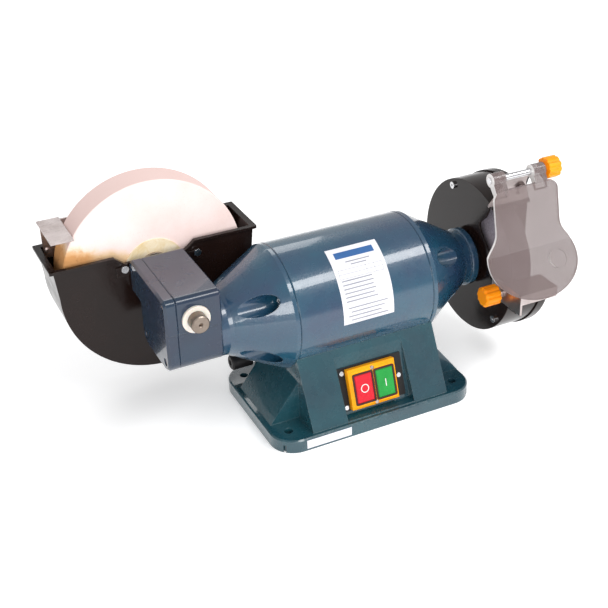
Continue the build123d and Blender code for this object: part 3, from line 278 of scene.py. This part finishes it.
def white_stone_look():
    """Fine white abrasive: pinkish grain, painted shade on the rim and a ragged rusty stain on its
    lower part.
    """
    stain_across, stain_down = -0.34, -0.94     # direction in which the stain deepens
    stain_start = 13 * MM
    stain_raggedness = 30 * MM
    low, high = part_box("wet_wheel")
    centre = (low + high) / 2
    look = Look("white_abrasive", IOR=1.45, Specular_IOR_Level=0.3)
    grain = look.noise(scale=1400, detail=4, rough=0.75)
    pores = look.span(look.noise(scale=650, detail=5, rough=0.7), 0.30, 0.42, 1.0, 0.0)
    body = look.mix(look.span(look.noise(scale=30, detail=4, rough=0.6), 0.3, 0.75),
                    srgb(246, 226, 222), srgb(238, 212, 206))
    body = look.mix(look.math("MULTIPLY", pores, 0.4), body, srgb(206, 178, 166))
    # Painted shade: the rim, whose faces do not look along the wheel's axis, is mixed towards a
    # darker pink.
    facing = look.add("ShaderNodeSeparateXYZ")
    look.feed(facing, Vector=look.add("ShaderNodeTexCoord").outputs["Normal"])
    painted_rim_shade = look.span(look.math("ABSOLUTE", facing.outputs[1]), 0.6, 0.2, 0.0, 0.8)
    body = look.mix(painted_rim_shade, body, srgb(226, 198, 192))
    across = look.math("SUBTRACT", look.axis(0), centre.x)
    rise = look.math("SUBTRACT", look.axis(2), centre.z)
    tilted = look.math("ADD", look.math("MULTIPLY", across, stain_across),
                       look.math("MULTIPLY", rise, stain_down))
    waves = look.noise(scale=30, detail=5, rough=0.65, distortion=0.6)
    ragged = look.math("MULTIPLY", look.math("SUBTRACT", waves, 0.5), stain_raggedness)
    edge = look.math("ADD", look.math("ADD", tilted, stain_start), ragged)
    body = look.mix(look.span(edge, -4 * MM, 5 * MM, 0.0, 0.85), body, srgb(238, 206, 158))
    outward = look.span(across, -52 * MM, -72 * MM, 0.25, 1.0)
    deep = look.math("MULTIPLY", look.span(edge, 0.0, 9 * MM), outward)
    body = look.mix(look.math("MULTIPLY", deep, 0.85), body, srgb(206, 142, 78))
    crust = look.span(look.noise(scale=70, detail=6, rough=0.75, distortion=1.2), 0.52, 0.66)
    crust = look.math("MULTIPLY", crust, look.math("MULTIPLY", deep, 0.6))
    body = look.mix(crust, body, srgb(158, 96, 52))
    normal = look.bump(grain, strength=0.35, distance=0.35 * MM, normal=look.rounded(1.2 * MM))
    dents = look.noise(scale=160, detail=3, rough=0.5)
    normal = look.bump(dents, strength=0.1, distance=0.4 * MM, normal=normal)
    return look.set(Base_Color=body, Roughness=look.span(grain, 0.3, 0.7, 0.72, 0.95),
                    Normal=normal)


def grey_stone_look():
    """Coarse grey abrasive with light and dark grains and open pores."""
    look = Look("grey_abrasive", IOR=1.5, Specular_IOR_Level=0.5)
    grains = look.add("ShaderNodeTexVoronoi")
    look.feed(grains, Vector=look.place, Scale=900)
    tint = look.add("ShaderNodeSeparateColor")
    look.feed(tint, Color=grains.outputs["Color"])
    body = look.mix(tint.outputs["Red"], srgb(108, 102, 112), srgb(164, 156, 168))
    pores = look.span(look.noise(scale=500, detail=5, rough=0.8), 0.56, 0.7, 0.0, 0.7)
    body = look.mix(pores, body, srgb(78, 72, 76))
    glaze = look.span(look.noise(scale=24, detail=3, rough=0.5), 0.4, 0.7, 0.0, 0.5)
    body = look.mix(glaze, body, srgb(186, 174, 184))
    normal = look.bump(grains.outputs["Distance"], strength=0.7, distance=0.5 * MM,
                       normal=look.rounded(0.8 * MM))
    return look.set(Base_Color=body, Roughness=look.span(tint.outputs["Green"], 0, 1, 0.55, 0.9),
                    Normal=normal)


def pane_look():
    """Smoked clear sheet: see-through, hazy, lightly scratched, with a painted highlight on its
    side faces.
    """
    look = Look("smoked_sheet", IOR=1.45, Coat_Weight=0.4, Coat_Roughness=0.08)
    facing = look.add("ShaderNodeLayerWeight")
    look.feed(facing, Blend=0.35)
    direction = look.add("ShaderNodeSeparateXYZ")
    look.feed(direction, Vector=look.add("ShaderNodeTexCoord").outputs["Normal"])
    # Painted highlight: faces whose normal points along x, the sheet's side edges, are painted near
    # white and made more opaque.
    painted_edge_highlight = look.span(look.math("ABSOLUTE", direction.outputs[0]), 0.35, 0.8)
    haze = look.span(look.noise(scale=40, detail=5, rough=0.6), 0.35, 0.75, 0.0, 0.5)
    body = look.mix(haze, srgb(118, 103, 102), srgb(134, 120, 119))
    body = look.mix(painted_edge_highlight, body, srgb(226, 222, 220))
    alpha = look.math("ADD", look.span(facing.outputs["Facing"], 0.1, 0.9, 0.62, 0.85),
                      look.math("MULTIPLY", painted_edge_highlight, 0.4))
    scratch = look.noise(scale=1.0, detail=2, rough=0.5, place=look.stretch(400, 40, 40))
    waves = look.noise(scale=18, detail=2, rough=0.4)
    normal = look.bump(waves, strength=0.12, distance=1.0 * MM)
    return look.set(Base_Color=body, Alpha=alpha, Normal=normal,
                    Roughness=look.span(scratch, 0.3, 0.8, 0.10, 0.16))


finish_node(["motor_shell", "left_end_bell", "right_end_bell"], blue_paint)
finish_node(["gearbox_housing", "gearbox_cover"], gearbox_paint)
finish_node(["base_casting"], base_paint)
finish_node(["water_trough", "trough_bracket", "guard_inner_plate", "guard_outer_cover"],
            black_paint)
finish_node(["base_bottom_plate"], plate_paint)
finish_node([
    "bottom_plate_screws", "saddle_bolts", "switch_housing_screws", "gearbox_cover_screws",
    "wet_tool_rest", "wet_rest_screws", "wet_wheel_nut", "wet_outer_flange", "wet_inner_flange",
    "dry_inner_flange", "dry_outer_flange", "dry_wheel_nut", "dry_tool_rest", "tool_rest_bolt",
    "spark_arrestor", "arrestor_bolt",
], zinc)
finish_node(["left_bearing", "right_bearing", "motor_shaft", "worm", "wet_spindle"], dark_steel)
finish_node(["shield_rod", "guard_screws", "trough_screws", "switch_plate_screws",
             "end_bell_screws"], chrome)
finish_node(["stator_core", "rotor_core"], lamination)
finish_node(["stator_windings"], copper)
finish_node(["worm_wheel", "spindle_rear_bush"], bronze)
finish_node(["spindle_front_bush"], nylon)
finish_node(["start_capacitor"], can_metal)
finish_node(["cable_gland", "switch_plate", "switch_contact_block"], black_plastic)
finish_node(["button_seals"], rubber)
finish_node(["switch_housing"], yellow_plastic)
finish_node(["stop_button"], red_plastic)
finish_node(["start_button"], green_plastic)
finish_node(["tool_rest_knob", "shield_knob"], orange_plastic)
finish_node(["foot_sticker", "rating_label"], film)
finish_node(["wet_blotters"], blotter_look())
finish_node(["wet_wheel"], white_stone_look())
finish_node(["dry_wheel"], grey_stone_look())
finish_node(["eye_shield"], pane_look())


# ---- rating label print ---------------------------------------------------------------------
PRINT_LIFT = 0.06 * MM
FACE_ANGLE = 3          # degrees of arc that one face of the print covers
TEXT_ANGLE = 1.1        # heights of a line of text and of a table rule, in degrees
RULE_ANGLE = 0.35
RULE_WIDTH = 0.4        # widths are in millimetres
HEADING_LINES = [(-14, 14, 36.5), (-9, 9, 39.5)]
TABLE_LEFT, TABLE_RIGHT = -26, 25
TABLE_TOP, TABLE_BOTTOM = 43.5, 51.8
TABLE_RULES = (43.5, 47.5, 51.5)
TABLE_COLUMNS = (-26, 6, 15.5, 24.6)

shell_low, shell_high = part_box("motor_shell")
motor_axis_z = (shell_low.z + shell_high.z) / 2
label_low, label_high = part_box("rating_label")
label_radius = math.hypot(label_low.y, label_low.z - motor_axis_z)


def label_print(name, marks, look):
    """Thin curved patches on the label; each mark is x from, x to, angle from, angle to.

    Angles are in degrees from straight up, towards the front.
    """
    radius = label_radius + PRINT_LIFT

    def build(work):
        for x_from, x_to, angle_from, angle_to in marks:
            steps = max(1, int((angle_to - angle_from) / FACE_ANGLE))
            rows = []
            for step in range(steps + 1):
                angle = math.radians(angle_from + (angle_to - angle_from) * step / steps)
                back, up = -radius * math.sin(angle), motor_axis_z + radius * math.cos(angle)
                rows.append([work.verts.new((x * MM, back, up)) for x in (x_from, x_to)])
            for (a, b), (c, d) in zip(rows, rows[1:]):
                work.faces.new((a, c, d, b))

    return piece(name, mesh_of(name, build), "frame", look)


data_lines = [(-25, 10 + 9 * math.sin(3.1 * row), 53 + 3.6 * row) for row in range(6)]
foot_lines = [(-24 + 3 * (row % 2), 22 - 4 * (row % 3), 77 + 3.8 * row) for row in range(4)]
text_marks = [(x_from, x_to, angle, angle + TEXT_ANGLE)
              for x_from, x_to, angle in HEADING_LINES + data_lines + foot_lines]
table_marks = [(TABLE_LEFT, TABLE_RIGHT, angle, angle + RULE_ANGLE) for angle in TABLE_RULES]
table_marks += [(x, x + RULE_WIDTH, TABLE_TOP, TABLE_BOTTOM) for x in TABLE_COLUMNS]
label_print("label_ribbon", [(-23, 22, 26.5, 33)], ribbon_print)
label_print("label_lines", text_marks + table_marks, grey_print)


# ---- button symbols -------------------------------------------------------------------------
SYMBOL_LIFT = 0.35 * MM
RING_STEPS = 40
RING_OUTER, RING_INNER = 4.7, 3.8               # millimetres
BAR_OUTER, BAR_INNER = (0.5, 4.2), (0.05, 3.8)  # half width and half height in millimetres

tilt = math.radians(18)
switch_out = Vector((0, -math.cos(tilt), math.sin(tilt)))
switch_up = Vector((0, math.sin(tilt), math.cos(tilt)))


def face_centre(node):
    """Middle of a button's front face."""
    reach = max(vertex.co.dot(switch_out) for vertex in nodes[node].data.vertices)
    low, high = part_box(node)
    middle = (low + high) / 2
    return middle + switch_out * (reach - middle.dot(switch_out))


def symbol(name, node, outer, inner):
    """Raised symbol on a button between two rings of (across, up) points in millimetres."""
    centre = face_centre(node)

    def build(work):
        layers = []
        for lift in (0.0, SYMBOL_LIFT):
            for ring in (outer, inner):
                layers.append([
                    work.verts.new(centre + Vector((x * MM, 0, 0)) + switch_up * y * MM
                                   + switch_out * lift)
                    for x, y in ring
                ])
        count = len(outer)
        for index in range(count):
            following = (index + 1) % count
            for first, second in ((0, 2), (1, 3), (2, 3)):
                work.faces.new((layers[first][index], layers[first][following],
                                layers[second][following], layers[second][index]))

    piece(name, mesh_of(name, build), node, white_mark, smooth=False)


def scaled(points, across, up):
    return [(across * x, up * y) for x, y in points]


ring_angles = [2 * math.pi * step / RING_STEPS for step in range(RING_STEPS)]
circle = [(math.sin(angle), math.cos(angle)) for angle in ring_angles]
square = [(-1, -1), (1, -1), (1, 1), (-1, 1)]
symbol("stop_ring", "stop_button",
       scaled(circle, RING_OUTER, RING_OUTER), scaled(circle, RING_INNER, RING_INNER))
symbol("start_bar", "start_button", scaled(square, *BAR_OUTER), scaled(square, *BAR_INNER))


# ---- stage ----------------------------------------------------------------------------------
FLOOR_HALF = 30.0
FLOOR_GLOW = 0.3
WORLD_STRENGTH = 0.62
LIGHT_TARGET = (0, 0, 0.12)
SOFTBOXES = [           # name, place, width and height in metres, watts
    ("key_softbox", (0.65, -1.0, 1.6), (1.7, 0.42), 20),
    ("front_softbox", (-0.9, -1.9, 0.75), (1.1, 0.7), 20),
    ("side_softbox", (1.7, -1.3, 0.8), (0.8, 0.8), 7),
    ("back_softbox", (0.2, 1.9, 1.8), (1.6, 0.8), 10),
]
CAMERA_AZIMUTH, CAMERA_ELEVATION, CAMERA_ROLL = 24.8, 30.02, -1.93      # degrees
CAMERA_DISTANCE = 1.2141
CAMERA_TARGET = (-0.0432, 0, 0.1120)
CAMERA_FOCAL, CAMERA_SENSOR = 66.9, 36.0        # millimetres


def floor():
    """Pale floor that reaches to the horizon."""
    look = Look("pale_floor", Roughness=0.75)
    tone = look.span(look.noise(scale=3, detail=3, rough=0.5), 0.3, 0.7)
    look.set(Base_Color=look.mix(tone, srgb(250, 250, 250), srgb(247, 247, 248)),
             Emission_Color=(1, 1, 1, 1), Emission_Strength=FLOOR_GLOW)

    def build(work):
        work.faces.new([work.verts.new((x * FLOOR_HALF, y * FLOOR_HALF, 0)) for x, y in square])

    mesh = mesh_of("floor", build)
    mesh.materials.append(look.material)
    plane = bpy.data.objects.new("floor", mesh)
    bpy.context.scene.collection.objects.link(plane)


def softbox(name, place, size, power):
    """Rectangular lamp that faces the object."""
    light = bpy.data.lights.new(name, "AREA")
    light.shape = "RECTANGLE"
    light.size, light.size_y = size
    light.energy = power
    lamp = bpy.data.objects.new(name, light)
    bpy.context.scene.collection.objects.link(lamp)
    lamp.location = place
    towards = Vector(LIGHT_TARGET) - Vector(place)
    lamp.rotation_euler = towards.to_track_quat("-Z", "Y").to_euler()


def camera():
    """Camera at the photograph's viewing angle, slightly rolled."""
    azimuth, elevation, roll = map(math.radians, (CAMERA_AZIMUTH, CAMERA_ELEVATION, CAMERA_ROLL))
    ahead = Vector((math.sin(azimuth) * math.cos(elevation),
                    math.cos(azimuth) * math.cos(elevation),
                    -math.sin(elevation)))
    right = ahead.cross(Vector((0, 0, 1))).normalized()
    up = right.cross(ahead)
    turned_right = right * math.cos(roll) + up * math.sin(roll)
    turned_up = up * math.cos(roll) - right * math.sin(roll)
    view = bpy.data.cameras.new("camera")
    view.lens, view.sensor_width = CAMERA_FOCAL, CAMERA_SENSOR
    holder = bpy.data.objects.new("camera", view)
    bpy.context.scene.collection.objects.link(holder)
    place = Vector(CAMERA_TARGET) - ahead * CAMERA_DISTANCE
    holder.matrix_world = Matrix((
        (turned_right.x, turned_up.x, -ahead.x, place.x),
        (turned_right.y, turned_up.y, -ahead.y, place.y),
        (turned_right.z, turned_up.z, -ahead.z, place.z),
        (0, 0, 0, 1),
    ))
    bpy.context.scene.camera = holder


def studio():
    """White surroundings and four softboxes."""
    world = bpy.data.worlds.new("studio")
    world.use_nodes = True
    background = world.node_tree.nodes["Background"]
    background.inputs["Color"].default_value = (1, 1, 1, 1)
    background.inputs["Strength"].default_value = WORLD_STRENGTH
    bpy.context.scene.world = world
    for name, place, size, power in SOFTBOXES:
        softbox(name, place, size, power)
    bpy.context.scene.view_settings.view_transform = "Standard"


floor()
camera()
studio()

bpy.context.view_layer.update()
